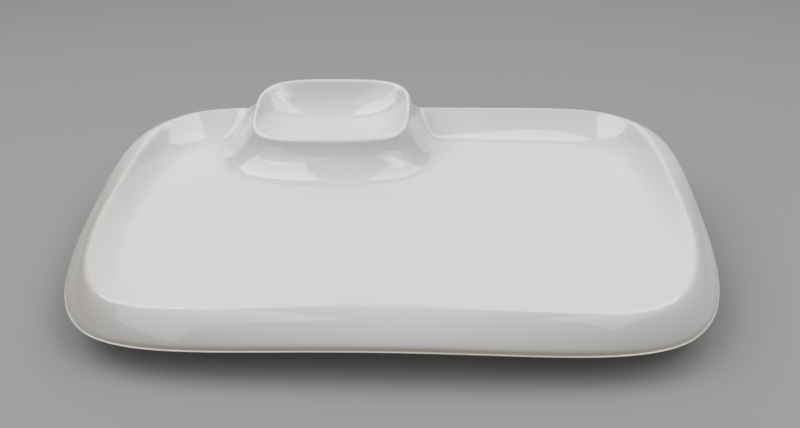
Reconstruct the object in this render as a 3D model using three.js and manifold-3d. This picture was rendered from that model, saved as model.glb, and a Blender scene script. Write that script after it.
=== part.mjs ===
import * as THREE from 'three';
import { ParametricGeometry } from 'three/addons/geometries/ParametricGeometry.js';
import { mergeVertices } from 'three/addons/utils/BufferGeometryUtils.js';
import Module from 'manifold-3d';

// A glazed porcelain serving plate with a dip bowl on its back edge.
// X runs along its length, Y from the front to the back, and Z up from the table.
// Heights of the rim and the bowl are measured from the flat of the well.

// Driving dimensions, in millimetres

// Outlines: squared-off ovals with nearly straight long sides and bowed ends
const PLATE_LENGTH = 320;
const PLATE_WIDTH = 212;
const LIP_LONG_POWER = 6.1;
const LIP_FRONT_POWER = 2.96;
const LIP_BACK_POWER = 3.55;
const CREST_LONG_POWER = 8.5;
const CREST_FRONT_POWER = 2.3;
const CREST_BACK_POWER = 4;
const CREST_BOW = 4.4;
const POWER_BLEND = 0.6;

// Well: the flat that food lies on
const WELL_HEIGHT = 30;
const WELL_WALL = 5.5;

// Cove: the hollow curve that climbs from the well to the crest of the rim
const COVE_END = 13;
const COVE_FRONT = 5;
const COVE_BACK = 24;
const COVE_POWER = 1.75;

// Skirt: the outer face of the rim, nearly straight from the crest down to the lip
const SKIRT_END = 11.8;
const SKIRT_FRONT = 14.4;
const SKIRT_BACK = 3;
const SKIRT_BULGE_FRONT = 0.9;
const SKIRT_BULGE_BACK = 0.25;
const RIM_WALL = 4;

// The rim is a slow wave, low along the front and high along the back
const CREST_FRONT = 0.7;
const CREST_BACK = 15.1;
const CREST_CORNER_DROP = 0.5;
const LIP_FRONT = -13.5;
const LIP_BACK = 13.6;
const LIP_EDGE = 2.5;
const LIP_CORNER_DROP = 2.4;

// Dip bowl: an oval dish that leans forward on a flared collar
const BOWL_END = 47;
const BOWL_FRONT = 32.1;
const BOWL_BACK = 32.2;
const BOWL_X = -39.2;
const BOWL_Y = 73.4;
const BOWL_RISE = 26.6;
const BOWL_TILT = THREE.MathUtils.degToRad(13);
const BOWL_POWER = 3.4;
const BOWL_LIP = 3.2;
const BOWL_LIP_ROUND = 0.9;
const BASIN_DEPTH = 14.5;
const BASIN_POWER = 3.4;
const BASIN_MIDDLE_POWER = 2.2;
const BASIN_WALL = 4.5;

// Collar: the bowl's outer wall, which sweeps out to a thin toe on the well
const COLLAR_WALL = 6;
const COLLAR_TOE = 1;
const FLARE_LEFT = 20;
const FLARE_RIGHT = 16;
const FLARE_FRONT = 19.5;
const FLARE_POWER = 1.6;
const CLIMB_POWER = 1.15;

// Vent: lets air out of the closed hollow under the bowl while it is fired
const VENT_BORE = 8;
const VENT_Y = 62;

// Foot ring: the unglazed ring that the plate stands on
const FOOT_LENGTH = 196;
const FOOT_WIDTH = 120;
const FOOT_SHIFT = -8;
const FOOT_WALL = 7;
const FOOT_SPREAD = 4;
const FOOT_CHAMFER = 1;
const FOOT_POWER = 2.95;

// Slip joint left between two pieces that are luted together
const LUTING_GAP = 0.3;

// Facets
const TRAY_SIDES = 96;
const BOWL_SIDES = 64;
const FOOT_SIDES = 72;
const VENT_SIDES = 24;
const COVE_STEPS = 4;
const SKIRT_STEPS = 3;
const COLLAR_STEPS = 7;
const BASIN_STEPS = 6;

const BASIN_FLOOR = BOWL_RISE - BASIN_DEPTH;

const wasm = await Module();
wasm.setup();

const glazedPorcelain = { color: 0xecebe8, roughness: 0.12, metalness: 0 };
const bisquePorcelain = { color: 0xe2dacb, roughness: 0.85, metalness: 0 };

// Curves and level lines

function mix(from, to, share) {
  return from + (to - from) * share;
}

// 0 along the front of the plate, 1 along the back, with a smooth climb along the ends
function backness(y) {
  const margin = 0.1;
  const halfWidth = PLATE_WIDTH / 2;
  return THREE.MathUtils.smoothstep(y, (margin - 1) * halfWidth, (1 - margin) * halfWidth);
}

// How far a squared-off oval reaches past the plain ellipse, in the direction of an angle
function ovalReach(angle, longPower, endPower) {
  const along = Math.abs(Math.cos(angle));
  const across = Math.abs(Math.sin(angle));
  let low = 1;
  let high = Math.SQRT2;
  for (let step = 0; step < 40; step++) {
    const middle = (low + high) / 2;
    const sum = (middle * along) ** longPower + (middle * across) ** endPower;
    if (sum > 1) {
      high = middle;
    } else {
      low = middle;
    }
  }
  return low;
}

// 1 at the two front corners, fading out along the front, the ends and the back
function frontCornerness(angle) {
  return Math.sin(angle) < 0 ? Math.sin(2 * angle) ** 2 : 0;
}

// The shape of an outline: bow is how far it reaches out to the front on both sides of its middle
function outline(longPower, frontPower, backPower, bow) {
  return { longPower, frontPower, backPower, bow };
}

function evenOutline(power) {
  return outline(power, power, power, 0);
}

function mixOutlines(from, to, share) {
  return outline(
    mix(from.longPower, to.longPower, share),
    mix(from.frontPower, to.frontPower, share),
    mix(from.backPower, to.backPower, share),
    mix(from.bow, to.bow, share),
  );
}

// A level line: an oval with its own reach to the left, the right, the front and the back
function levelPoint(level, angle, target) {
  const along = Math.cos(angle);
  const across = Math.sin(angle);
  const shape = level.shape;
  const endPower = mix(shape.frontPower, shape.backPower, THREE.MathUtils.smoothstep(across, -POWER_BLEND, POWER_BLEND));
  const reach = ovalReach(angle, shape.longPower, endPower);
  const x = (along < 0 ? level.left : level.right) * reach * along;
  const y = (across < 0 ? level.front : level.back) * reach * across - shape.bow * frontCornerness(angle);
  return target.set(x, y, level.height(y, angle));
}

// A skin through level lines, taken in order around the outside of a section
function skin(levels, sides) {
  const last = levels.length - 1;
  const place = (around, along, target) => {
    levelPoint(levels[Math.round(along * last)], around * 2 * Math.PI, target);
  };
  return new ParametricGeometry(place, sides, last);
}

// Solids

function solidOf(geometry) {
  const bare = geometry.clone();
  bare.deleteAttribute('normal');
  bare.deleteAttribute('uv');
  const merged = mergeVertices(bare);
  const corners = merged.index.array;
  const kept = [];
  for (let first = 0; first < corners.length; first += 3) {
    const [a, b, c] = corners.slice(first, first + 3);
    if (a !== b && b !== c && c !== a) {
      kept.push(a, b, c);
    }
  }
  const vertProperties = new Float32Array(merged.attributes.position.array);
  return new wasm.Manifold(new wasm.Mesh({ numProp: 3, vertProperties, triVerts: new Uint32Array(kept) }));
}

function piece(name, solid, finish) {
  const mesh = solid.getMesh();
  const geometry = new THREE.BufferGeometry();
  geometry.setAttribute('position', new THREE.BufferAttribute(mesh.vertProperties, mesh.numProp));
  geometry.setIndex(new THREE.BufferAttribute(mesh.triVerts, 1));
  geometry.computeVertexNormals();
  const object = new THREE.Mesh(geometry, new THREE.MeshStandardMaterial(finish));
  object.name = name;
  return object;
}

// Tray

const LIP_OUTLINE = outline(LIP_LONG_POWER, LIP_FRONT_POWER, LIP_BACK_POWER, 0);
const CREST_OUTLINE = outline(CREST_LONG_POWER, CREST_FRONT_POWER, CREST_BACK_POWER, CREST_BOW);

function trayLevel(inset, height, shape) {
  return {
    left: PLATE_LENGTH / 2 - inset.end,
    right: PLATE_LENGTH / 2 - inset.end,
    front: PLATE_WIDTH / 2 - inset.front,
    back: PLATE_WIDTH / 2 - inset.back,
    shape,
    height,
  };
}

function middleLevel(z) {
  return { left: 0, right: 0, front: 0, back: 0, shape: evenOutline(2), height: () => z };
}

function crestHeight(y, angle) {
  return mix(CREST_FRONT, CREST_BACK, backness(y)) - CREST_CORNER_DROP * frontCornerness(angle);
}

function lipHeight(y, angle) {
  return mix(LIP_FRONT, LIP_BACK, backness(y)) - LIP_CORNER_DROP * frontCornerness(angle);
}

// share 0 is the edge of the well and 1 the crest of the rim
function coveLevel(share, drop) {
  const inset = {
    end: SKIRT_END + COVE_END * (1 - share),
    front: SKIRT_FRONT + COVE_FRONT * (1 - share),
    back: SKIRT_BACK + COVE_BACK * (1 - share),
  };
  return trayLevel(inset, (y, angle) => crestHeight(y, angle) * share ** COVE_POWER - drop, CREST_OUTLINE);
}

// share 0 is the crest of the rim and 1 the lip
function skirtLevel(share, setIn, crestDrop, lipDrop) {
  const inset = {
    end: mix(SKIRT_END + setIn, lipDrop, share),
    front: mix(SKIRT_FRONT + setIn, lipDrop, share),
    back: mix(SKIRT_BACK + setIn, lipDrop, share),
  };
  const height = (y, angle) => {
    const bulge = 4 * share * (1 - share) * mix(SKIRT_BULGE_FRONT, SKIRT_BULGE_BACK, backness(y));
    return mix(crestHeight(y, angle) - crestDrop, lipHeight(y, angle) - lipDrop, share) + bulge;
  };
  return trayLevel(inset, height, mixOutlines(CREST_OUTLINE, LIP_OUTLINE, share));
}

// The upper side of the tray, from the middle of the well out to the lip
function trayTop() {
  const levels = [middleLevel(0)];
  for (let step = 0; step <= COVE_STEPS; step++) {
    levels.push(coveLevel(step / COVE_STEPS, 0));
  }
  for (let step = 1; step <= SKIRT_STEPS; step++) {
    levels.push(skirtLevel(step / SKIRT_STEPS, 0, 0, 0));
  }
  return levels;
}

// The under side, from the lip back to the middle
function trayUnderside() {
  const levels = [];
  for (let step = SKIRT_STEPS; step >= 0; step--) {
    levels.push(skirtLevel(step / SKIRT_STEPS, RIM_WALL, RIM_WALL, LIP_EDGE));
  }
  for (let step = COVE_STEPS - 1; step >= 0; step--) {
    const share = step / COVE_STEPS;
    levels.push(coveLevel(share, mix(WELL_WALL, RIM_WALL, share)));
  }
  levels.push(middleLevel(-WELL_WALL));
  return levels;
}

function traySolid() {
  return solidOf(skin([...trayTop(), ...trayUnderside()].reverse(), TRAY_SIDES));
}

// Everything below the tray's upper side, with the slip joint on top: the seat of the bowl
function seatSolid() {
  const raised = trayTop().map((level) => ({
    ...level,
    height: (y, angle) => level.height(y, angle) + LUTING_GAP,
  }));
  const depth = PLATE_WIDTH;
  const base = { ...raised.at(-1), height: () => -depth };
  return solidOf(skin([...raised, base, middleLevel(-depth)].reverse(), TRAY_SIDES));
}

// Dip bowl

function bowlLevel(out, height) {
  return {
    left: BOWL_END + out.left,
    right: BOWL_END + out.right,
    front: BOWL_FRONT + out.front,
    back: BOWL_BACK + out.back,
    shape: evenOutline(BOWL_POWER),
    height,
  };
}

function evenly(out) {
  return { left: out, right: out, front: out, back: out };
}

// The rim's height where it passes a point that lies y behind the middle of the bowl
function bowlRim(y) {
  return BOWL_RISE + Math.tan(BOWL_TILT) * y;
}

// share 1 is the rim and 0 the toe
function collarLevel(share, setIn) {
  const spread = (1 - share) ** FLARE_POWER;
  const climb = share ** CLIMB_POWER;
  const out = {
    left: FLARE_LEFT * spread - setIn,
    right: FLARE_RIGHT * spread - setIn,
    front: FLARE_FRONT * spread - setIn,
    back: -setIn,
  };
  return bowlLevel(out, (y) => mix(COLLAR_TOE, bowlRim(y) - BOWL_LIP_ROUND, climb));
}

// share 0 is the middle of the basin and 1 its mouth
function basinLevel(share) {
  return {
    left: (BOWL_END - BOWL_LIP) * share,
    right: (BOWL_END - BOWL_LIP) * share,
    front: (BOWL_FRONT - BOWL_LIP) * share,
    back: (BOWL_BACK - BOWL_LIP) * share,
    shape: evenOutline(mix(BASIN_MIDDLE_POWER, BOWL_POWER, share)),
    height: (y) => mix(BASIN_FLOOR, bowlRim(y / share) - BOWL_LIP_ROUND, share ** BASIN_POWER),
  };
}

// The bowl reaches down past the cove, so that its seat trims it all round
function bowlSolid() {
  const ceiling = BASIN_FLOOR - BASIN_WALL;
  const ceilingShare = ((ceiling - COLLAR_TOE) / (BOWL_RISE - COLLAR_TOE)) ** (1 / CLIMB_POWER);
  const below = () => -COLLAR_TOE;
  const levels = [middleLevel(BASIN_FLOOR)];
  for (let step = 1; step <= BASIN_STEPS; step++) {
    levels.push(basinLevel(step / BASIN_STEPS));
  }
  levels.push(bowlLevel(evenly(-BOWL_LIP + BOWL_LIP_ROUND), bowlRim));
  levels.push(bowlLevel(evenly(-BOWL_LIP_ROUND), bowlRim));
  for (let step = COLLAR_STEPS; step >= 0; step--) {
    levels.push(collarLevel(step / COLLAR_STEPS, 0));
  }
  levels.push({ ...collarLevel(0, 0), height: below });
  levels.push({ ...collarLevel(0, COLLAR_WALL), height: below });
  levels.push({ ...collarLevel(ceilingShare, COLLAR_WALL), height: () => ceiling });
  levels.push(middleLevel(ceiling));
  return solidOf(skin(levels.reverse(), BOWL_SIDES));
}

// Foot ring

function footSolid() {
  const top = WELL_HEIGHT - WELL_WALL - LUTING_GAP;
  const ring = (inset, z) => ({
    left: FOOT_LENGTH / 2 - inset,
    right: FOOT_LENGTH / 2 - inset,
    front: FOOT_WIDTH / 2 - inset,
    back: FOOT_WIDTH / 2 - inset,
    shape: evenOutline(FOOT_POWER),
    height: () => z,
  });
  const levels = [
    ring(FOOT_CHAMFER, 0),
    ring(0, FOOT_CHAMFER),
    ring(-FOOT_SPREAD, top),
    ring(FOOT_WALL + FOOT_SPREAD, top),
    ring(FOOT_WALL, FOOT_CHAMFER),
    ring(FOOT_WALL - FOOT_CHAMFER, 0),
  ];
  return solidOf(skin([...levels, levels[0]], FOOT_SIDES));
}

// Assembly

const ventGeometry = new THREE.CylinderGeometry(VENT_BORE / 2, VENT_BORE / 2, 4 * WELL_WALL, VENT_SIDES);
ventGeometry.rotateX(Math.PI / 2);
ventGeometry.translate(BOWL_X, VENT_Y, 0);

const bowlPlace = [BOWL_X, BOWL_Y, 0];
const tray = piece('tray', traySolid().subtract(solidOf(ventGeometry)), glazedPorcelain);
const dipBowl = piece('dip_bowl', bowlSolid().translate(bowlPlace).subtract(seatSolid()), glazedPorcelain);
const footRing = piece('foot_ring', footSolid(), bisquePorcelain);
footRing.position.set(0, FOOT_SHIFT, 0);

const glazedWare = new THREE.Group();
glazedWare.position.z = WELL_HEIGHT;
glazedWare.add(tray, dipBowl);

const plate = new THREE.Group();
plate.add(glazedWare, footRing);

export default plate;
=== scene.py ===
# White glazed porcelain serving plate with a raised dip bowl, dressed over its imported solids
# X runs along the plate, Y from its front edge to its back edge, and Z up from the table
import math
from collections import namedtuple

import bmesh
import bpy
from mathutils import Matrix, Vector


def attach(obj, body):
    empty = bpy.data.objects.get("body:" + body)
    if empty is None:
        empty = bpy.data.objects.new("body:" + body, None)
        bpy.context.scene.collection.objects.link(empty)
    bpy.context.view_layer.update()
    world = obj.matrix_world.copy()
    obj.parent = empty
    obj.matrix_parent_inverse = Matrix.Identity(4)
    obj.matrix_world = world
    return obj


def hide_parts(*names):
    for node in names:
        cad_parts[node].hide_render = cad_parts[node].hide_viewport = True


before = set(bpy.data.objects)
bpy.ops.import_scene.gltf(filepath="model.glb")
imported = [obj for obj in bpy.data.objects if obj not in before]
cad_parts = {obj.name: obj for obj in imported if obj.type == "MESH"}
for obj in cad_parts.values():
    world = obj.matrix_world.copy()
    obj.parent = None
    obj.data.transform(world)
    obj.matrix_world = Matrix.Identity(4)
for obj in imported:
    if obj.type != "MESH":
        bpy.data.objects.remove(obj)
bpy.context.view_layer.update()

# Sizes in millimetres, with the heights of the rim and the bowl taken from the flat of the well
MM = 0.001
PLATE_LENGTH = 320
PLATE_WIDTH = 212
WELL_HEIGHT = 30
WELL_WALL = 5.5

# Outlines: squared-off ovals with nearly straight long sides and bowed ends. bow is how far one reaches out
# to the front on both sides of its middle. The front power blends into the back power round the ends, up to
# a sine of POWER_BLEND
Outline = namedtuple("Outline", "long_power front_power back_power bow")
LIP_OUTLINE = Outline(6.1, 2.96, 3.55, 0)
CREST_OUTLINE = Outline(8.5, 2.3, 4, 4.4)
POWER_BLEND = 0.6

# Rim: a cove climbs from the well to the crest, and a shoulder falls from the crest to the lip. Its heights
# climb from front to back over CLIMB_SHARE of the plate's width
Band = namedtuple("Band", "end front back")
COVE = Band(16, 5, 24)
COVE_POWER = 1.75
SHOULDER = Band(11.8, 14.4, 3)
CREST_FRONT = 0.7
CREST_BACK = 15.1
CREST_CORNER_DROP = 0.5
LIP_FRONT = -13.5
LIP_BACK = 13.6
LIP_CORNER_DROP = 2.4
CLIMB_SHARE = 0.9
RIM_WALL = 4
LIP_EDGE = 2.5
LIP_UNDERSIDE = 0.6

# Skirt: the outer face of the rim, nearly straight from the crest down to the crease above the lip
SKIRT_BULGE_FRONT = 1.2
SKIRT_BULGE_BACK = 0.25

# Lip: a thin bead along the edge with a crease above it, which fades out along the back
CREASE = Band(0.8, 0.8, 0.5)
CREASE_RISE_FRONT = 2.6
CREASE_RISE_BACK = 0.6

# Painted shade: the glaze colour is darkened to cream at the left end, on the skirt most, standing in for the
# shade that falls there. Round the two ends, from a cosine of END_START on, the lip has shares of its own
LEFT_SHADE_START = 104
LEFT_SHADE_BLEND = 40
LEFT_SKIRT_PAINTED_SHADE = 0.6
LEFT_COVE_PAINTED_SHADE = 0.3
END_START = 0.5
END_BLEND = 0.4

# Vent: a round hole in the underside, below the bowl. Its four-sided cage is a little wider than its bore
VENT_X = -39.2
VENT_Y = 62
VENT_BORE = 8
VENT_CAGE = 1.07
VENT_ROUND = 1
VENT_DEPTH = 5

# Dip bowl: an oval dish that leans forward on a flared collar
BOWL = Band(47, 32.1, 32.2)
BOWL_X = -39.2
BOWL_Y = 73.4
BOWL_RISE = 26.5
BOWL_TILT = math.radians(13)
BOWL_FRONT_POWER = 3.8
BOWL_BACK_POWER = 3.7
BOWL_LIP = 3.2
BOWL_LIP_ROUND = 1.2
# Share of painted highlight, a paler colour, on the bowl's lip
BOWL_LIP_PAINTED_HIGHLIGHT = 0.3
BASIN_FLOOR = 13.2
BASIN_POWER = 3.8
BASIN_MIDDLE_POWER = 2.2

# Collar: the bowl's outer wall, which sweeps out to a toe on the well and on the cove behind it
FLARE_LEFT = 25
FLARE_RIGHT = 20
FLARE_FRONT = 25
CREST_FLARE_LEFT = 17
CREST_FLARE_RIGHT = 9
TOE_POWER = 2.5

# Collar's profiles from the toe up, in shares of its flare and of its height. In front an upright wall
# stands on a hollow slope, the ends rise more evenly from the toe to the rim, and the back corners are nearly
# straight
COLLAR_FRONT = (
    (0.88, 0.011), (0.73, 0.057), (0.588, 0.13), (0.47, 0.22), (0.36, 0.32), (0.26, 0.43),
    (0.18, 0.53), (0.126, 0.625), (0.076, 0.74), (0.034, 0.865), (0, 1),
)
COLLAR_END = (
    (0.88, 0.01), (0.73, 0.051), (0.576, 0.125), (0.48, 0.22), (0.384, 0.335), (0.288, 0.465),
    (0.208, 0.595), (0.136, 0.72), (0.072, 0.845), (0.024, 0.94), (0, 1),
)
COLLAR_BACK = (
    (0.91, 0.02), (0.81, 0.085), (0.71, 0.185), (0.61, 0.29), (0.515, 0.405), (0.42, 0.525),
    (0.34, 0.63), (0.25, 0.73), (0.155, 0.835), (0.07, 0.925), (0, 1),
)

# Foot ring: its outline, and how far its top reaches into the tray
FOOT_LENGTH = 196
FOOT_WIDTH = 120
FOOT_SHIFT = -8
FOOT_WALL = 7
FOOT_SPREAD = 4
FOOT_POWER = 2.95
FOOT_OVERLAP = 0.2
FOOT_SIDES = 64

# Net of the well: columns run along the plate, and some of them line up with the bowl's flanks
COLUMNS = 32
ROWS = 18
BOWL_FIRST_COLUMN = 5
BOWL_LAST_COLUMN = 18
BOWL_FIRST_ROW = 12
SMOOTHING_PASSES = 12
SMOOTHING_FACTOR = 0.5
SUBDIVISIONS = 2
CORNER_ANGLE = math.radians(45)

# Rings of the net outside the well, in shares of the way out over the cove and of the way down the skirt.
# Those of the skirt come with their share of painted shade, which darkens their colour towards the lip
COVE_SHARES = (0.2, 0.42, 0.64, 0.84, 1)
CREST_RING = len(COVE_SHARES)
OUTER_RING = CREST_RING + 1
SKIRT_RINGS = ((0.18, 0), (0.4, 0), (0.66, 0.03), (0.86, 0.12), (1, 0.3))

# Rings of the lip, with inset and rise in shares of the crease's, and their shares of painted shade, of
# painted highlight, and of painted highlight round the ends
LipRing = namedtuple("LipRing", "inset rise pooled thin end_thin")
LIP_RINGS = (
    LipRing(1, 0.6, 0.8, 0, 0.5),
    LipRing(0.9, 0.24, 1, 0, 0.8),
    LipRing(0.3, 0.18, 0, 0.5, 0.8),
    LipRing(0, 0.08, 0, 0.5, 0.8),
    LipRing(0.3, -0.04, 0, 0.5, 0.8),
    LipRing(1.2, -0.12, 0, 0, 0),
)

# Rings of the underside, as degrees of the turn under the shoulder and as shares of the cove
UNDER_SHOULDER_TURNS = (90, 70, 45, 20, 0)
UNDER_COVE_SHARES = (0.75, 0.5, 0.25, 0)

# Rings of the bowl: how far inside the rim's oval and below its top, then shares of the way to the middle
BOWL_LIP_RINGS = ((0.2, 0.7), (0.8, 0.15), (1.6, 0), (2.5, 0.25))
BASIN_SHARES = (0, 0.04, 0.1, 0.18, 0.28, 0.4, 0.56, 0.78, 1)

# Limits: steps of a search by halves, the distance at which vertices are joined, and the digits of an angle
HALVINGS = 40
JOIN_DISTANCE = 0.01
ANGLE_DIGITS = 5


# Curves

def mix(start, stop, share):
    return start + (stop - start) * share


def mix_all(start, stop, share):
    return type(start)(*(mix(one, other, share) for one, other in zip(start, stop)))


def ease(share):
    held = min(max(share, 0), 1)
    return held * held * (3 - 2 * held)


def even_band(width):
    return Band(width, width, width)


# 0 along the front of the plate, 1 along the back, with a smooth climb along the ends
def backness(y):
    reach = CLIMB_SHARE * PLATE_WIDTH / 2
    return ease((y + reach) / (2 * reach))


# 1 round the two ends and 0 along the middle of the front and the back
def endness(angle):
    return ease((abs(math.cos(angle)) - END_START) / END_BLEND)


# 1 at the two front corners, fading out along the front and the ends, and 0 along the back
def front_cornerness(angle):
    return math.sin(2 * angle) ** 2 if math.sin(angle) < 0 else 0


# How many times further than a plain ellipse a squared-off oval reaches, in the direction of an angle
def oval_reach(angle, long_power, end_power):
    along = abs(math.cos(angle))
    across = abs(math.sin(angle))
    low = 1
    high = math.sqrt(2)
    for _ in range(HALVINGS):
        middle = (low + high) / 2
        if (middle * along) ** long_power + (middle * across) ** end_power > 1:
            high = middle
        else:
            low = middle
    return low


# A level line of the tray is an oval set in from the plate's outline, at a height of its own. Splits are
# the angles of its back corners and of the collar's toe: the places between them slide along the line, so
# that the toe keeps to the same columns on every level
Level = namedtuple("Level", "inset outline height splits", defaults=(None,))


def slide(angle, splits):
    spans = zip(CREST_SPLITS, CREST_SPLITS[1:], splits, splits[1:])
    for start, stop, new_start, new_stop in spans:
        if stop <= angle <= start:
            return mix(new_start, new_stop, (angle - start) / (stop - start))
    return angle


def level_point(level, angle):
    outline = level.outline
    inset = level.inset
    if level.splits:
        angle = slide(angle, level.splits)
    end_power = mix(outline.front_power, outline.back_power, ease((math.sin(angle) / POWER_BLEND + 1) / 2))
    reach = oval_reach(angle, outline.long_power, end_power)
    side = inset.front if math.sin(angle) < 0 else inset.back
    x = (PLATE_LENGTH / 2 - inset.end) * reach * math.cos(angle)
    y = (PLATE_WIDTH / 2 - side) * reach * math.sin(angle) - outline.bow * front_cornerness(angle)
    return Vector((x, y, level.height(y, angle)))


# Where along the plate the collar's toe lies, behind the middle of the bowl. side is -1 on the left of the
# bowl and 1 on the right
def toe_x(side, y):
    flare = FLARE_LEFT if side < 0 else FLARE_RIGHT
    crest_flare = CREST_FLARE_LEFT if side < 0 else CREST_FLARE_RIGHT
    climb = ease((y - BOWL_Y) / (PLATE_WIDTH / 2 - SHOULDER.back - BOWL_Y))
    return BOWL_X + side * (BOWL.end + mix(flare, crest_flare, climb))


# The angle at which the collar's toe crosses the back of a level line
def toe_angle(line, side):
    low = CORNER_ANGLE
    high = 3 * CORNER_ANGLE
    for _ in range(HALVINGS):
        middle = (low + high) / 2
        point = level_point(line, middle)
        if point.x > toe_x(side, point.y):
            low = middle
        else:
            high = middle
    return low


def back_splits(inset):
    line = Level(inset, CREST_OUTLINE, lambda y, angle: 0)
    return 3 * CORNER_ANGLE, toe_angle(line, -1), toe_angle(line, 1), CORNER_ANGLE


def crest_height(y, angle):
    return mix(CREST_FRONT, CREST_BACK, backness(y)) - CREST_CORNER_DROP * front_cornerness(angle)


def lip_height(y, angle):
    return mix(LIP_FRONT, LIP_BACK, backness(y)) - LIP_CORNER_DROP * front_cornerness(angle)


def crease_rise(y):
    return mix(CREASE_RISE_FRONT, CREASE_RISE_BACK, backness(y))


# share 0 is the edge of the well and 1 the crest
def cove_level(share, drop):
    well_edge = Band(*(one + other for one, other in zip(SHOULDER, COVE)))
    inset = mix_all(well_edge, SHOULDER, share)

    def height(y, angle):
        return crest_height(y, angle) * share ** COVE_POWER - drop

    return Level(inset, CREST_OUTLINE, height, back_splits(inset))


# share 0 is the crest and 1 the top of the crease
def skirt_level(share):
    def height(y, angle):
        bulge = 4 * share * (1 - share) * mix(SKIRT_BULGE_FRONT, SKIRT_BULGE_BACK, backness(y))
        return mix(crest_height(y, angle), lip_height(y, angle) + crease_rise(y), share) + bulge

    return Level(mix_all(SHOULDER, CREASE, share), mix_all(CREST_OUTLINE, LIP_OUTLINE, share), height)


# inset is in shares of the crease's depth, and rise in shares of its height above the lip
def lip_level(inset, rise):
    band = Band(*(depth * inset for depth in CREASE))

    def height(y, angle):
        return lip_height(y, angle) + rise * crease_rise(y)

    return Level(band, LIP_OUTLINE, height)


# 0 degrees is under the crest and 90 under the lip
def under_shoulder_level(degrees):
    turn = math.radians(degrees)
    inward = 1 - math.sin(turn)
    inner = Band(*(width + RIM_WALL for width in SHOULDER))
    inset = mix_all(even_band(LIP_EDGE), inner, inward)

    def height(y, angle):
        return mix(lip_height(y, angle) - LIP_UNDERSIDE, crest_height(y, angle) - RIM_WALL, math.cos(turn))

    return Level(inset, mix_all(LIP_OUTLINE, CREST_OUTLINE, inward), height)


# A place on an oval round the middle of the bowl. rounding 0 gives the rim's squared-off oval, and 1 a
# plainer one
def bowl_point(half, angle, rounding, height):
    in_front = math.sin(angle) < 0
    power = mix(BOWL_FRONT_POWER if in_front else BOWL_BACK_POWER, BASIN_MIDDLE_POWER, rounding)
    reach = oval_reach(angle, power, power)
    side = half.front if in_front else half.back
    x = half.end * reach * math.cos(angle)
    y = side * reach * math.sin(angle)
    return Vector((BOWL_X + x, BOWL_Y + y, height(y)))


def bowl_rim(y):
    return BOWL_RISE + math.tan(BOWL_TILT) * y


def bowl_rim_foot(y):
    return bowl_rim(y) - BOWL_LIP_ROUND


def shrunk_bowl(width):
    return Band(*(half - width for half in BOWL))


# Glazed plate: one skin over the well, the rim, the underside and the bowl

work = bmesh.new()
column_of = work.verts.layers.int.new("column")
row_of = work.verts.layers.int.new("row")
ring_of = work.verts.layers.int.new("ring")
rim_angle_of = work.verts.layers.float.new("rim_angle")
bowl_angle_of = work.verts.layers.float.new("bowl_angle")
# Per-vertex shares of painted shade (a darker cream) and of painted highlight (a paler colour)
painted_shade_of = work.verts.layers.float.new("painted_shade_glaze")
painted_highlight_of = work.verts.layers.float.new("painted_highlight_glaze")

CREST_SPLITS = back_splits(SHOULDER)
BACK_KNOTS = tuple(zip((0, BOWL_FIRST_COLUMN, BOWL_LAST_COLUMN, COLUMNS), CREST_SPLITS))


def back_angle(column):
    for (first, start), (last, stop) in zip(BACK_KNOTS, BACK_KNOTS[1:]):
        if column <= last:
            return mix(start, stop, (column - first) / (last - first))


def front_angle(column):
    return mix(-3 * CORNER_ANGLE, -CORNER_ANGLE, column / COLUMNS)


def right_angle(row):
    return mix(-CORNER_ANGLE, CORNER_ANGLE, row / ROWS)


def left_angle(row):
    return math.pi - right_angle(row)


# A place on a flat whose four sides follow the oval
def flat_point(level, column, row):
    across = column / COLUMNS
    along = row / ROWS
    sides = mix(level_point(level, left_angle(row)), level_point(level, right_angle(row)), across)
    ends = mix(level_point(level, front_angle(column)), level_point(level, back_angle(column)), along)
    front = mix(level_point(level, -3 * CORNER_ANGLE), level_point(level, -CORNER_ANGLE), across)
    back = mix(level_point(level, 3 * CORNER_ANGLE), level_point(level, CORNER_ANGLE), across)
    return sides + ends - mix(front, back, along)


def lay_flat(level):
    verts = bmesh.ops.create_grid(work, x_segments=COLUMNS, y_segments=ROWS, size=1)["verts"]
    for vert in verts:
        column = round((vert.co.x + 1) / 2 * COLUMNS)
        row = round((vert.co.y + 1) / 2 * ROWS)
        vert[column_of] = column
        vert[row_of] = row
        if row == ROWS:
            vert[rim_angle_of] = back_angle(column)
        elif row == 0:
            vert[rim_angle_of] = front_angle(column)
        elif column == COLUMNS:
            vert[rim_angle_of] = right_angle(row)
        elif column == 0:
            vert[rim_angle_of] = left_angle(row)
        vert.co = flat_point(level, column, row)
    return verts


# Grows one more ring of faces out of a loop of edges, each new vertex going where place sends it
def grow(body, loop, place):
    made = bmesh.ops.extrude_edge_only(body, edges=loop)["geom"]
    fresh = {item for item in made if isinstance(item, bmesh.types.BMVert)}
    for vert in fresh:
        vert.co = place(vert)
    return [item for item in made if isinstance(item, bmesh.types.BMEdge) and fresh.issuperset(item.verts)]


# The two shares are of painted shade and of painted highlight along the front and the back. Round the ends
# there is no painted shade and the ends' own share of painted highlight counts, but the left share of painted
# shade lies at the left end, and less of it towards the back
def grow_level(loop, level, ring, pooled=0, thin=0, end_thin=0, left_shade=0):
    def place(vert):
        angle = vert[rim_angle_of]
        point = level_point(level, angle)
        leftness = ease((-point.x - LEFT_SHADE_START) / LEFT_SHADE_BLEND)
        at_left = left_shade * leftness * (1 - backness(point.y))
        vert[ring_of] = ring
        vert[painted_shade_of] = max(mix(pooled, 0, endness(angle)), at_left)
        vert[painted_highlight_of] = mix(thin, end_thin, endness(angle))
        return point

    return grow(work, loop, place)


def open_edges():
    return [edge for edge in work.edges if edge.is_boundary]


# Upper side of the tray, out to the crest, with painted shade on the cove at the left end
lay_flat(cove_level(0, 0))
loop = open_edges()
for number, share in enumerate(COVE_SHARES, 1):
    loop = grow_level(loop, cove_level(share, 0), number, left_shade=LEFT_COVE_PAINTED_SHADE)


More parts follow.
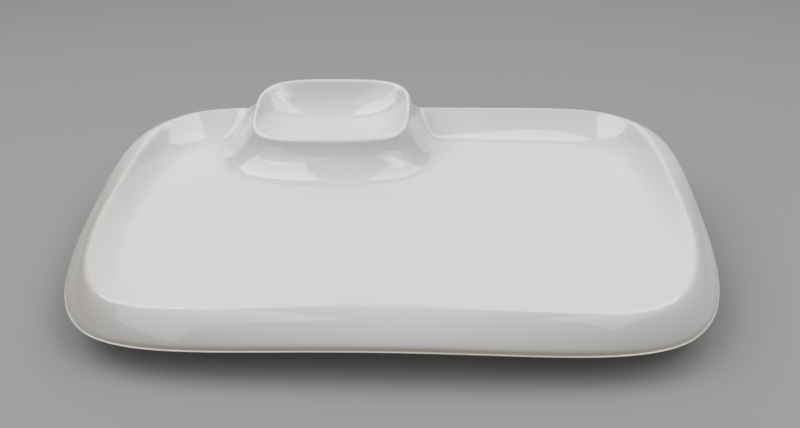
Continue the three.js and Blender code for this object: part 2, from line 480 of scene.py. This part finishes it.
# The bowl's site is the block of faces that it stands on
def on_site(vert):
    return BOWL_FIRST_COLUMN <= vert[column_of] <= BOWL_LAST_COLUMN and vert[row_of] >= BOWL_FIRST_ROW


bowl_site = [face for face in work.faces if all(on_site(vert) for vert in face.verts)]

# Skirt, lip and underside
# The skirt's lower rings and the lip's crease carry painted shade, and the lip's bead carries painted
# highlight
for share, pooled in SKIRT_RINGS:
    loop = grow_level(loop, skirt_level(share), OUTER_RING, pooled=pooled, left_shade=LEFT_SKIRT_PAINTED_SHADE)
for inset, rise, pooled, thin, end_thin in LIP_RINGS:
    loop = grow_level(loop, lip_level(inset, rise), OUTER_RING, pooled=pooled, thin=thin, end_thin=end_thin)
for degrees in UNDER_SHOULDER_TURNS:
    loop = grow_level(loop, under_shoulder_level(degrees), OUTER_RING)
for share in UNDER_COVE_SHARES:
    loop = grow_level(loop, cove_level(share, mix(WELL_WALL, RIM_WALL, share)), OUTER_RING)
under_verts = lay_flat(cove_level(0, WELL_WALL))
for vert in under_verts:
    vert[ring_of] = OUTER_RING


# Vent under the bowl: the nearest face of the underside becomes its mouth and is pushed up into the wall
def vent_distance(face):
    return (face.calc_center_median().xy - Vector((VENT_X, VENT_Y))).length


under_set = set(under_verts)
under_faces = {face for vert in under_verts for face in vert.link_faces if under_set.issuperset(face.verts)}
vent_face = min(under_faces, key=vent_distance)
vent_middle = vent_face.calc_center_median()
mouth_half = VENT_BORE * VENT_CAGE / 2 + VENT_ROUND
for vert in vent_face.verts:
    vert.co.x = VENT_X + math.copysign(mouth_half, vert.co.x - vent_middle.x)
    vert.co.y = VENT_Y + math.copysign(mouth_half, vert.co.y - vent_middle.y)
bmesh.ops.inset_individual(work, faces=[vent_face], thickness=VENT_ROUND)
for rise in (VENT_ROUND, VENT_DEPTH - VENT_ROUND):
    vent_face = bmesh.ops.extrude_discrete_faces(work, faces=[vent_face])["faces"][0]
    bmesh.ops.translate(work, verts=vent_face.verts, vec=(0, 0, rise))
bmesh.ops.remove_doubles(work, verts=work.verts, dist=JOIN_DISTANCE)

# The site is cut out, and the edge of the hole becomes the collar's toe
bmesh.ops.delete(work, geom=bowl_site, context="FACES")
loop = open_edges()
hole = {vert for edge in loop for vert in edge.verts}
hole_low = Vector(map(min, zip(*(vert.co for vert in hole))))
hole_high = Vector(map(max, zip(*(vert.co for vert in hole))))
hole_middle = (hole_low + hole_high) / 2
hole_half = (hole_high - hole_low) / 2


def toe_point(vert):
    side = -1 if vert.co.x < BOWL_X else 1
    out_x = abs(toe_x(side, BOWL_Y) - BOWL_X)
    out_y = BOWL.front + FLARE_FRONT
    if vert[ring_of] == CREST_RING:
        return vert.co
    if vert.co.y > BOWL_Y:
        return Vector((toe_x(side, vert.co.y), vert.co.y, vert.co.z))
    angle = math.atan2((vert.co.y - BOWL_Y) / out_y, (vert.co.x - BOWL_X) / out_x)
    reach = oval_reach(angle, TOE_POWER, TOE_POWER)
    x = BOWL_X + out_x * reach * math.cos(angle)
    y = BOWL_Y + out_y * reach * math.sin(angle)
    return Vector((x, y, vert.co.z))


def inside_well(vert):
    return vert[ring_of] == 0 and 0 < vert[column_of] < COLUMNS and 0 < vert[row_of] < ROWS


for vert in hole:
    offset = vert.co - hole_middle
    vert[bowl_angle_of] = math.atan2(offset.y / hole_half.y, offset.x / hole_half.x)
    vert.co = toe_point(vert)
loose = [vert for vert in work.verts if inside_well(vert) and vert not in hole]
for _ in range(SMOOTHING_PASSES):
    bmesh.ops.smooth_vert(work, verts=loose, factor=SMOOTHING_FACTOR, use_axis_x=True, use_axis_y=True)

# Collar, from the toe up to the rim
toe_places = {round(vert[bowl_angle_of], ANGLE_DIGITS): vert.co.copy() for vert in hole}


def grow_collar(loop, front, end, back):
    def place(vert):
        angle = vert[bowl_angle_of]
        toe = toe_places[round(angle, ANGLE_DIGITS)]
        rim = bowl_point(BOWL, angle, 0, bowl_rim_foot)
        far = front if math.sin(angle) < 0 else back
        farness = ease(abs(math.sin(angle)))
        spread = mix(end[0], far[0], farness)
        climb = mix(end[1], far[1], farness)
        return Vector((mix(rim.x, toe.x, spread), mix(rim.y, toe.y, spread), mix(toe.z, rim.z, climb)))

    return grow(work, loop, place)


for front, end, back in zip(COLLAR_FRONT, COLLAR_END, COLLAR_BACK):
    loop = grow_collar(loop, front, end, back)


# Bowl's lip and basin
def grow_bowl(loop, half, rounding, height, thin=0):
    def place(vert):
        vert[painted_highlight_of] = thin
        return bowl_point(half, vert[bowl_angle_of], rounding, height)

    return grow(work, loop, place)


# The basin's rings shrink towards its middle, while their heights go from the rim's to the floor's
def grow_basin(loop, share):
    rise = (1 - share) ** BASIN_POWER

    def height(y):
        full = y / (1 - share) if share < 1 else 0
        return mix(BASIN_FLOOR, bowl_rim_foot(full), rise)

    return grow_bowl(loop, mix_all(shrunk_bowl(BOWL_LIP), even_band(0), share), share, height)


# The lip's rings carry a share of painted highlight
for width, drop in BOWL_LIP_RINGS:
    loop = grow_bowl(loop, shrunk_bowl(width), 0, lambda y: bowl_rim(y) - drop, thin=BOWL_LIP_PAINTED_HIGHLIGHT)
for share in BASIN_SHARES:
    loop = grow_basin(loop, share)
bmesh.ops.remove_doubles(work, verts=work.verts, dist=JOIN_DISTANCE)
bmesh.ops.translate(work, verts=work.verts, vec=(0, 0, WELL_HEIGHT))


# Pieces

def finish_piece(name, body, nodes, material):
    bmesh.ops.transform(body, matrix=Matrix.Scale(MM, 4), verts=body.verts)
    bmesh.ops.recalc_face_normals(body, faces=body.faces)
    mesh = bpy.data.meshes.new(name)
    body.to_mesh(mesh)
    body.free()
    mesh.shade_smooth()
    mesh.materials.append(material)
    piece = bpy.data.objects.new(name, mesh)
    bpy.context.scene.collection.objects.link(piece)
    rounding = piece.modifiers.new("rounding", "SUBSURF")
    rounding.levels = SUBDIVISIONS
    rounding.render_levels = SUBDIVISIONS
    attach(piece, "root")
    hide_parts(*nodes)


# Materials

def linear(hex_colour):
    shares = [int(hex_colour[place:place + 2], 16) / 255 for place in (1, 3, 5)]
    return [share / 12.92 if share <= 0.04045 else ((share + 0.055) / 1.055) ** 2.4 for share in shares] + [1]


# Adds a node, sets its own properties, then fills its sockets with links or values
def add_node(tree, kind, settings=None, sockets=None):
    node = tree.nodes.new(kind)
    for name, value in (settings or {}).items():
        setattr(node, name, value)
    for name, value in (sockets or {}).items():
        socket = node.inputs[name]
        if isinstance(value, bpy.types.NodeSocket):
            tree.links.new(value, socket)
        else:
            socket.default_value = value
    return node


def new_material(name):
    material = bpy.data.materials.new(name)
    material.use_nodes = True
    material.node_tree.nodes.clear()
    return material, material.node_tree


# Clear gloss glaze fired over white porcelain: wet-looking, with a soft ripple like orange peel, a faint
# cloudiness and a few pinholes. A darker cream is painted in as shade low on the skirt, in the crease above
# the lip and at the left end, and a paler colour is painted in as a highlight along the lips. Widths, depths,
# spacings and radii are in millimetres
GLAZE_COOL = "#e2e3e6"
GLAZE_WARM = "#e7e7e6"
PAINTED_SHADE_CREAM = "#c3bfae"
PAINTED_HIGHLIGHT_PALE = "#eeede9"
GLAZE_IOR = 1.55
GLAZE_ROUGHNESS_LOW = 0.04
GLAZE_ROUGHNESS_HIGH = 0.07
CLOUD_WIDTH = 60
CLOUD_DETAIL = 3
RIPPLE_WIDTH = 7
RIPPLE_DETAIL = 2
RIPPLE_STRENGTH = 0.25
RIPPLE_DEPTH = 0.06
PINHOLE_COLOUR = "#5b554d"
PINHOLE_SPACING = 48
PINHOLE_RADIUS = 0.28
PINHOLE_SHARE = 0.2
glaze, tree = new_material("clear_glazed_porcelain")
coords = add_node(tree, "ShaderNodeTexCoord").outputs["Object"]
clouds = add_node(tree, "ShaderNodeTexNoise", sockets={
    "Vector": coords,
    "Scale": 1 / (CLOUD_WIDTH * MM),
    "Detail": CLOUD_DETAIL,
})
body_colour = add_node(tree, "ShaderNodeMix", {"data_type": "RGBA"}, {
    "Factor": clouds.outputs["Fac"],
    "A": linear(GLAZE_COOL),
    "B": linear(GLAZE_WARM),
})
# Painted shade: a darker cream mixed in by the per-vertex share
painted_shade_share = add_node(tree, "ShaderNodeAttribute", {"attribute_name": "painted_shade_glaze"})
painted_shade_colour = add_node(tree, "ShaderNodeMix", {"data_type": "RGBA"}, {
    "Factor": painted_shade_share.outputs["Fac"],
    "A": body_colour.outputs["Result"],
    "B": linear(PAINTED_SHADE_CREAM),
})
# Painted highlight: a paler colour mixed in by the per-vertex share
painted_highlight_share = add_node(tree, "ShaderNodeAttribute", {"attribute_name": "painted_highlight_glaze"})
edge_colour = add_node(tree, "ShaderNodeMix", {"data_type": "RGBA"}, {
    "Factor": painted_highlight_share.outputs["Fac"],
    "A": painted_shade_colour.outputs["Result"],
    "B": linear(PAINTED_HIGHLIGHT_PALE),
})
pinholes = add_node(tree, "ShaderNodeTexVoronoi", sockets={
    "Vector": coords,
    "Scale": 1 / (PINHOLE_SPACING * MM),
})
chosen = add_node(tree, "ShaderNodeMath", {"operation": "LESS_THAN"}, {
    0: pinholes.outputs["Color"],
    1: PINHOLE_SHARE,
})
close = add_node(tree, "ShaderNodeMath", {"operation": "LESS_THAN"}, {
    0: pinholes.outputs["Distance"],
    1: PINHOLE_RADIUS / PINHOLE_SPACING,
})
speck = add_node(tree, "ShaderNodeMath", {"operation": "MULTIPLY"}, {
    0: chosen.outputs["Value"],
    1: close.outputs["Value"],
})
glaze_colour = add_node(tree, "ShaderNodeMix", {"data_type": "RGBA"}, {
    "Factor": speck.outputs["Value"],
    "A": edge_colour.outputs["Result"],
    "B": linear(PINHOLE_COLOUR),
})
ripple = add_node(tree, "ShaderNodeTexNoise", sockets={
    "Vector": coords,
    "Scale": 1 / (RIPPLE_WIDTH * MM),
    "Detail": RIPPLE_DETAIL,
})
ripple_bump = add_node(tree, "ShaderNodeBump", sockets={
    "Height": ripple.outputs["Fac"],
    "Strength": RIPPLE_STRENGTH,
    "Distance": RIPPLE_DEPTH * MM,
})
glaze_roughness = add_node(tree, "ShaderNodeMapRange", sockets={
    "Value": clouds.outputs["Fac"],
    "To Min": GLAZE_ROUGHNESS_LOW,
    "To Max": GLAZE_ROUGHNESS_HIGH,
})
glaze_shader = add_node(tree, "ShaderNodeBsdfPrincipled", sockets={
    "Base Color": glaze_colour.outputs["Result"],
    "Roughness": glaze_roughness.outputs["Result"],
    "IOR": GLAZE_IOR,
    "Normal": ripple_bump.outputs["Normal"],
})
add_node(tree, "ShaderNodeOutputMaterial", sockets={"Surface": glaze_shader.outputs["BSDF"]})

finish_piece("glazed_plate", work, ("tray", "dip_bowl"), glaze)

# Bisque porcelain, ground flat where it stands: dry and gritty below, with the wavering edge of the glaze a
# little way up. The line is a height above the table, and its fade runs from below it to above it
GRIT_DARK = "#d8cfbe"
GRIT_PALE = "#e8e0d2"
GRIT_WIDTH = 0.9
GRIT_DETAIL = 4
GRIT_DEPTH = 0.15
GRIT_STRENGTH = 0.6
BISQUE_ROUGHNESS = 0.85
BISQUE_IOR = 1.5
FOOT_GLAZE = "#e5e4e2"
FOOT_GLAZE_ROUGHNESS = 0.1
FOOT_GLAZE_STRENGTH = 0.02
GLAZE_LINE = 3.2
GLAZE_LINE_WAVER = 0.8
WAVER_WIDTH = 12
WAVER_DETAIL = 2
FADE_BELOW = 0.1
FADE_ABOVE = 0.2
bisque, tree = new_material("ground_bisque_porcelain")
coords = add_node(tree, "ShaderNodeTexCoord").outputs["Object"]
grit = add_node(tree, "ShaderNodeTexNoise", sockets={
    "Vector": coords,
    "Scale": 1 / (GRIT_WIDTH * MM),
    "Detail": GRIT_DETAIL,
})
waver = add_node(tree, "ShaderNodeTexNoise", sockets={
    "Vector": coords,
    "Scale": 1 / (WAVER_WIDTH * MM),
    "Detail": WAVER_DETAIL,
})
foot_height = add_node(tree, "ShaderNodeSeparateXYZ", sockets={"Vector": coords}).outputs["Z"]
glaze_line = add_node(tree, "ShaderNodeMapRange", sockets={
    "Value": waver.outputs["Fac"],
    "To Min": (GLAZE_LINE - GLAZE_LINE_WAVER) * MM,
    "To Max": (GLAZE_LINE + GLAZE_LINE_WAVER) * MM,
})
above_line = add_node(tree, "ShaderNodeMath", {"operation": "SUBTRACT"}, {
    0: foot_height,
    1: glaze_line.outputs["Result"],
})
glazed_share = add_node(tree, "ShaderNodeMapRange", sockets={
    "Value": above_line.outputs["Value"],
    "From Min": -FADE_BELOW * MM,
    "From Max": FADE_ABOVE * MM,
})
grit_colour = add_node(tree, "ShaderNodeMix", {"data_type": "RGBA"}, {
    "Factor": grit.outputs["Fac"],
    "A": linear(GRIT_DARK),
    "B": linear(GRIT_PALE),
})
foot_colour = add_node(tree, "ShaderNodeMix", {"data_type": "RGBA"}, {
    "Factor": glazed_share.outputs["Result"],
    "A": grit_colour.outputs["Result"],
    "B": linear(FOOT_GLAZE),
})
foot_roughness = add_node(tree, "ShaderNodeMapRange", sockets={
    "Value": glazed_share.outputs["Result"],
    "To Min": BISQUE_ROUGHNESS,
    "To Max": FOOT_GLAZE_ROUGHNESS,
})
grit_strength = add_node(tree, "ShaderNodeMapRange", sockets={
    "Value": glazed_share.outputs["Result"],
    "To Min": GRIT_STRENGTH,
    "To Max": FOOT_GLAZE_STRENGTH,
})
grit_bump = add_node(tree, "ShaderNodeBump", sockets={
    "Height": grit.outputs["Fac"],
    "Strength": grit_strength.outputs["Result"],
    "Distance": GRIT_DEPTH * MM,
})
bisque_shader = add_node(tree, "ShaderNodeBsdfPrincipled", sockets={
    "Base Color": foot_colour.outputs["Result"],
    "Roughness": foot_roughness.outputs["Result"],
    "IOR": BISQUE_IOR,
    "Normal": grit_bump.outputs["Normal"],
})
add_node(tree, "ShaderNodeOutputMaterial", sockets={"Surface": bisque_shader.outputs["BSDF"]})

# Foot ring: a drafted ring with a filleted top. Its profile gives insets and heights, down the outside from
# the top to the ground, and then the same mirrored up the inside
FOOT_TOP = WELL_HEIGHT - WELL_WALL + FOOT_OVERLAP
FOOT_OUTSIDE = (
    (-FOOT_SPREAD - 2.5, FOOT_TOP),
    (-FOOT_SPREAD - 0.4, FOOT_TOP - 1),
    (-FOOT_SPREAD * 0.8, FOOT_TOP - 4),
    (-FOOT_SPREAD * 0.3, FOOT_TOP * 0.4),
    (0, 2.2),
    (0.3, 0.7),
    (1.1, 0),
)
FOOT_INSIDE = tuple((FOOT_WALL - inset, z) for inset, z in reversed(FOOT_OUTSIDE))
FOOT_START = FOOT_OUTSIDE[0]
foot = bmesh.new()
foot_angle_of = foot.verts.layers.float.new("foot_angle")


def foot_point(inset, z, angle):
    reach = oval_reach(angle, FOOT_POWER, FOOT_POWER)
    x = (FOOT_LENGTH / 2 - inset) * reach * math.cos(angle)
    y = (FOOT_WIDTH / 2 - inset) * reach * math.sin(angle)
    return Vector((x, y + FOOT_SHIFT, z))


for vert in bmesh.ops.create_circle(foot, segments=FOOT_SIDES, radius=1)["verts"]:
    vert[foot_angle_of] = math.atan2(vert.co.y, vert.co.x)
    vert.co = foot_point(*FOOT_START, vert[foot_angle_of])
loop = list(foot.edges)
for inset, z in (*FOOT_OUTSIDE[1:], *FOOT_INSIDE, FOOT_START):
    loop = grow(foot, loop, lambda vert: foot_point(inset, z, vert[foot_angle_of]))
bmesh.ops.remove_doubles(foot, verts=foot.verts, dist=JOIN_DISTANCE)
finish_piece("foot_ring_ground", foot, ("foot_ring",), bisque)

# Studio: floor, lamps, world and camera, with the floor and the lamps in metres
FLOOR_HALF = 4
FLOOR_COLOUR = "#acacac"
FLOOR_ROUGHNESS = 0.9
floor_body = bmesh.new()
bmesh.ops.create_grid(floor_body, x_segments=1, y_segments=1, size=FLOOR_HALF)
floor_mesh = bpy.data.meshes.new("studio_floor")
floor_body.to_mesh(floor_mesh)
floor_body.free()
floor = bpy.data.objects.new("studio_floor", floor_mesh)
bpy.context.scene.collection.objects.link(floor)
paper, tree = new_material("pale_backdrop_paper")
paper_shader = add_node(tree, "ShaderNodeBsdfPrincipled", sockets={
    "Base Color": linear(FLOOR_COLOUR),
    "Roughness": FLOOR_ROUGHNESS,
})
add_node(tree, "ShaderNodeOutputMaterial", sockets={"Surface": paper_shader.outputs["BSDF"]})
floor_mesh.materials.append(paper)

PLATE_MIDDLE = Vector((0, 0, 0.02))
LAMP_WHITE = "#fafbff"
WALL_WHITE = "#f6f8ff"


def add_softbox(name, place, width, height, watts, colour=LAMP_WHITE):
    lamp = bpy.data.lights.new(name, "AREA")
    lamp.shape = "RECTANGLE"
    lamp.size = width
    lamp.size_y = height
    lamp.energy = watts
    lamp.color = linear(colour)[:3]
    softbox = bpy.data.objects.new(name, lamp)
    softbox.location = place
    softbox.rotation_euler = (PLATE_MIDDLE - Vector(place)).to_track_quat("-Z", "Y").to_euler()
    bpy.context.scene.collection.objects.link(softbox)


add_softbox("left_softbox", (-0.68, 0.1, 1.05), width=0.92, height=0.94, watts=5.4)
add_softbox("right_softbox", (0.5, 0.28, 1.05), width=0.88, height=0.84, watts=3.6)
add_softbox("right_strip", (0.6, -0.28, 1.05), width=0.72, height=0.3, watts=1.15)
add_softbox("back_wall", (-0.1, 1.35, 0.85), width=1.7, height=0.9, watts=2.35, colour=WALL_WHITE)
add_softbox("front_left_panel", (-0.62, -0.66, 0.8), width=0.66, height=1.1, watts=2.4)
add_softbox("front_right_panel", (0.78, -0.62, 1.0), width=1.15, height=0.7, watts=3.15)

WORLD_COLOUR = "#fff0d8"
WORLD_STRENGTH = 0.15
world = bpy.data.worlds.new("studio_room")
world.use_nodes = True
bpy.context.scene.world = world
sky = world.node_tree.nodes["Background"]
sky.inputs["Color"].default_value = linear(WORLD_COLOUR)
sky.inputs["Strength"].default_value = WORLD_STRENGTH

# Camera: a pinhole camera fitted to the outlines in the photo, placed in millimetres
CAMERA_PLACE = Vector((20.9, -364.5, 196.4 + WELL_HEIGHT)) * MM
CAMERA_PITCH = math.radians(28.91)
CAMERA_YAW = math.radians(-2.65)
CAMERA_ROLL = math.radians(-0.85)
CAMERA_SENSOR = 36
CAMERA_LENS = 35.16
CAMERA_NEAR = 0.01
forward = Vector((
    math.sin(CAMERA_YAW) * math.cos(CAMERA_PITCH),
    math.cos(CAMERA_YAW) * math.cos(CAMERA_PITCH),
    -math.sin(CAMERA_PITCH),
))
level_right = Vector((math.cos(CAMERA_YAW), -math.sin(CAMERA_YAW), 0))
level_up = level_right.cross(forward)
right = math.cos(CAMERA_ROLL) * level_right + math.sin(CAMERA_ROLL) * level_up
up = math.cos(CAMERA_ROLL) * level_up - math.sin(CAMERA_ROLL) * level_right
camera_data = bpy.data.cameras.new("photo_camera")
camera_data.sensor_width = CAMERA_SENSOR
camera_data.lens = CAMERA_LENS
camera_data.clip_start = CAMERA_NEAR
camera = bpy.data.objects.new("photo_camera", camera_data)
camera.matrix_world = Matrix.Translation(CAMERA_PLACE) @ Matrix((right, up, -forward)).transposed().to_4x4()
bpy.context.scene.collection.objects.link(camera)
bpy.context.scene.camera = camera
bpy.context.scene.view_settings.view_transform = "Standard"
